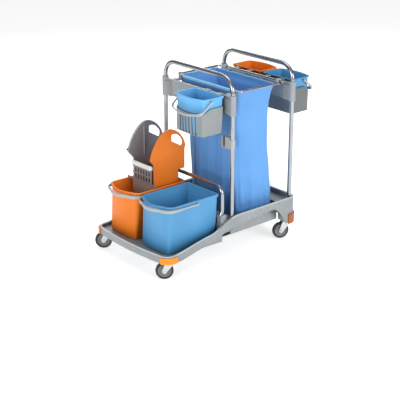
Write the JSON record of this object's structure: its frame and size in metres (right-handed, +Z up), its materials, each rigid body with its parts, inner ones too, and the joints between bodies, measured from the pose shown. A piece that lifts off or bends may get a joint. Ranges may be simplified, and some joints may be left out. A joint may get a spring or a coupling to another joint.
{
  "type": "housekeeping cart",
  "caption": "Rolling cleaning cart with mop buckets, a jaw wringer, a hung bag and small buckets in rail holders.",
  "frame": {"origin": "on the floor, under the middle of the whole cart", "axes": "+X towards the bag end, +Y towards the orange bucket, +Z up"},
  "size_m": [1.167, 0.6562, 1.025],
  "materials": {
    "tray_grey_plastic": "fine satin grain",
    "amber_plastic": "satin",
    "chromed_tube": "polished",
    "zinc_steel": "bright zinc plate",
    "tyre_rubber": "matt, lightly scuffed",
    "clip_rubber": "matt",
    "dark_grey_plastic": "satin",
    "light_grey_plastic": "satin",
    "orange_plastic": "semi-gloss",
    "blue_plastic": "semi-gloss",
    "white_plastic": "satin",
    "bag_fabric": "coated woven cloth"
  },
  "bodies": {
    "cart": {"tray_base": "tray_grey_plastic", "bumper_front_right": "amber_plastic", "bumper_front_left": "amber_plastic", "bumper_rear_right": "amber_plastic", "bumper_rear_left": "amber_plastic", "front_frame": "chromed_tube", "rear_frame": "chromed_tube", "low_rail": "chromed_tube", "front_cross_rail": "light_grey_plastic", "rear_cross_rail": "light_grey_plastic", "handle_clip": "light_grey_plastic", "handle_clip_grip": "clip_rubber", "bag_rod_front": "chromed_tube", "bag_rod_rear": "chromed_tube", "bag_rod_cap_right": "dark_grey_plastic", "bag_rod_cap_left": "dark_grey_plastic", "bag_rod_clip_front_right": "light_grey_plastic", "bag_rod_clip_front_left": "light_grey_plastic", "bag_rod_clip_rear_right": "light_grey_plastic", "bag_rod_clip_rear_left": "light_grey_plastic", "bag": "bag_fabric", "castor_plate_front_right": "zinc_steel", "castor_plate_front_left": "zinc_steel", "castor_plate_rear_right": "zinc_steel", "castor_plate_rear_left": "zinc_steel", "holder_front": "light_grey_plastic", "holder_rear_right": "light_grey_plastic", "holder_rear_left": "light_grey_plastic"},
    "swivel_front_right": {"castor_fork_front_right": "zinc_steel", "castor_axle_front_right": "zinc_steel"},
    "wheel_front_right": {"wheel_hub_front_right": "light_grey_plastic", "wheel_tyre_front_right": "tyre_rubber"},
    "swivel_front_left": {"castor_fork_front_left": "zinc_steel", "castor_axle_front_left": "zinc_steel"},
    "wheel_front_left": {"wheel_hub_front_left": "light_grey_plastic", "wheel_tyre_front_left": "tyre_rubber"},
    "swivel_rear_right": {"castor_fork_rear_right": "zinc_steel", "castor_axle_rear_right": "zinc_steel"},
    "wheel_rear_right": {"wheel_hub_rear_right": "light_grey_plastic", "wheel_tyre_rear_right": "tyre_rubber"},
    "swivel_rear_left": {"castor_fork_rear_left": "zinc_steel", "castor_axle_rear_left": "zinc_steel"},
    "wheel_rear_left": {"wheel_hub_rear_left": "light_grey_plastic", "wheel_tyre_rear_left": "tyre_rubber"},
    "orange_bucket": {"bucket_orange": "orange_plastic"},
    "blue_bucket": {"bucket_blue": "blue_plastic"},
    "orange_bail": {"bucket_bail_orange": "light_grey_plastic"},
    "blue_bail": {"bucket_bail_blue": "light_grey_plastic"},
    "wringer": {"wringer_basket": "dark_grey_plastic", "wringer_back_jaw": "dark_grey_plastic", "wringer_hinge_pin": "zinc_steel", "wringer_lip": "white_plastic", "wringer_rail_hooks": "dark_grey_plastic"},
    "wringer_lever": {"wringer_lever_jaw": "orange_plastic"},
    "small_bucket_front": {"small_bucket_front": "blue_plastic"},
    "small_bail_front": {"small_bail_front": "light_grey_plastic"},
    "small_bucket_rear_right": {"small_bucket_rear_right": "blue_plastic"},
    "small_bail_rear_right": {"small_bail_rear_right": "light_grey_plastic"},
    "small_bucket_rear_left": {"small_bucket_rear_left": "orange_plastic"},
    "small_bail_rear_left": {"small_bail_rear_left": "light_grey_plastic"}
  },
  "joints": [
    {"name": "swivel_front_right", "type": "hinge", "parent": "cart", "child": "swivel_front_right", "pos_m": [-0.51046, -0.28214, 0.098], "axis": [0, 0, 1], "continuous": true},
    {"name": "roll_front_right", "type": "hinge", "parent": "swivel_front_right", "child": "wheel_front_right", "pos_m": [-0.53282, -0.26528, 0.048], "axis": [0.6018, 0.7986, 0], "continuous": true},
    {"name": "swivel_front_left", "type": "hinge", "parent": "cart", "child": "swivel_front_left", "pos_m": [-0.51046, 0.26187, 0.098], "axis": [0, 0, 1], "continuous": true},
    {"name": "roll_front_left", "type": "hinge", "parent": "swivel_front_left", "child": "wheel_front_left", "pos_m": [-0.53282, 0.27872, 0.048], "axis": [0.6018, 0.7986, 0], "continuous": true},
    {"name": "swivel_rear_right", "type": "hinge", "parent": "cart", "child": "swivel_rear_right", "pos_m": [0.34654, -0.28214, 0.098], "axis": [0, 0, 1], "continuous": true},
    {"name": "roll_rear_right", "type": "hinge", "parent": "swivel_rear_right", "child": "wheel_rear_right", "pos_m": [0.32096, -0.27075, 0.048], "axis": [0.4067, 0.9135, 0], "continuous": true},
    {"name": "swivel_rear_left", "type": "hinge", "parent": "cart", "child": "swivel_rear_left", "pos_m": [0.34654, 0.26187, 0.098], "axis": [0, 0, 1], "continuous": true},
    {"name": "roll_rear_left", "type": "hinge", "parent": "swivel_rear_left", "child": "wheel_rear_left", "pos_m": [0.33048, 0.2848, 0.048], "axis": [0.8192, 0.5736, 0], "continuous": true},
    {"name": "orange_bucket_lift", "type": "slide", "parent": "cart", "child": "orange_bucket", "axis": [0, 0, 1], "range_m": [0, 0.2]},
    {"name": "orange_bail_swing", "type": "hinge", "parent": "orange_bucket", "child": "orange_bail", "pos_m": [-0.31496, 0.12987, 0.3698], "axis": [0, 1, 0], "range_deg": [0, 62]},
    {"name": "wringer_lift", "type": "slide", "parent": "orange_bucket", "child": "wringer", "axis": [0, 0, 1], "range_m": [0, 0.3]},
    {"name": "wringer_lever_press", "type": "hinge", "parent": "wringer", "child": "wringer_lever", "pos_m": [-0.27346, 0.03687, 0.3443], "axis": [-1, 0, 0], "range_deg": [0, 20]},
    {"name": "blue_bucket_lift", "type": "slide", "parent": "cart", "child": "blue_bucket", "axis": [0, 0, 1], "range_m": [0, 0.2]},
    {"name": "blue_bail_swing", "type": "hinge", "parent": "blue_bucket", "child": "blue_bail", "pos_m": [-0.31496, -0.15013, 0.3698], "axis": [0, 1, 0], "range_deg": [0, 90]},
    {"name": "small_bucket_lift_front", "type": "slide", "parent": "cart", "child": "small_bucket_front", "axis": [0, 0, 1], "range_m": [0, 0.2]},
    {"name": "small_bail_swing_front", "type": "hinge", "parent": "small_bucket_front", "child": "small_bail_front", "pos_m": [-0.20046, -0.14214, 0.904], "axis": [0, 1, 0], "range_deg": [0, 115]},
    {"name": "small_bucket_lift_rear_right", "type": "slide", "parent": "cart", "child": "small_bucket_rear_right", "axis": [0, 0, 1], "range_m": [0, 0.2]},
    {"name": "small_bail_swing_rear_right", "type": "hinge", "parent": "small_bucket_rear_right", "child": "small_bail_rear_right", "pos_m": [0.48554, -0.13814, 0.904], "axis": [0, -1, 0], "range_deg": [0, 115]},
    {"name": "small_bucket_lift_rear_left", "type": "slide", "parent": "cart", "child": "small_bucket_rear_left", "axis": [0, 0, 1], "range_m": [0, 0.2]},
    {"name": "small_bail_swing_rear_left", "type": "hinge", "parent": "small_bucket_rear_left", "child": "small_bail_rear_left", "pos_m": [0.48554, 0.11786, 0.904], "axis": [0, -1, 0], "range_deg": [0, 115]}
  ]
}
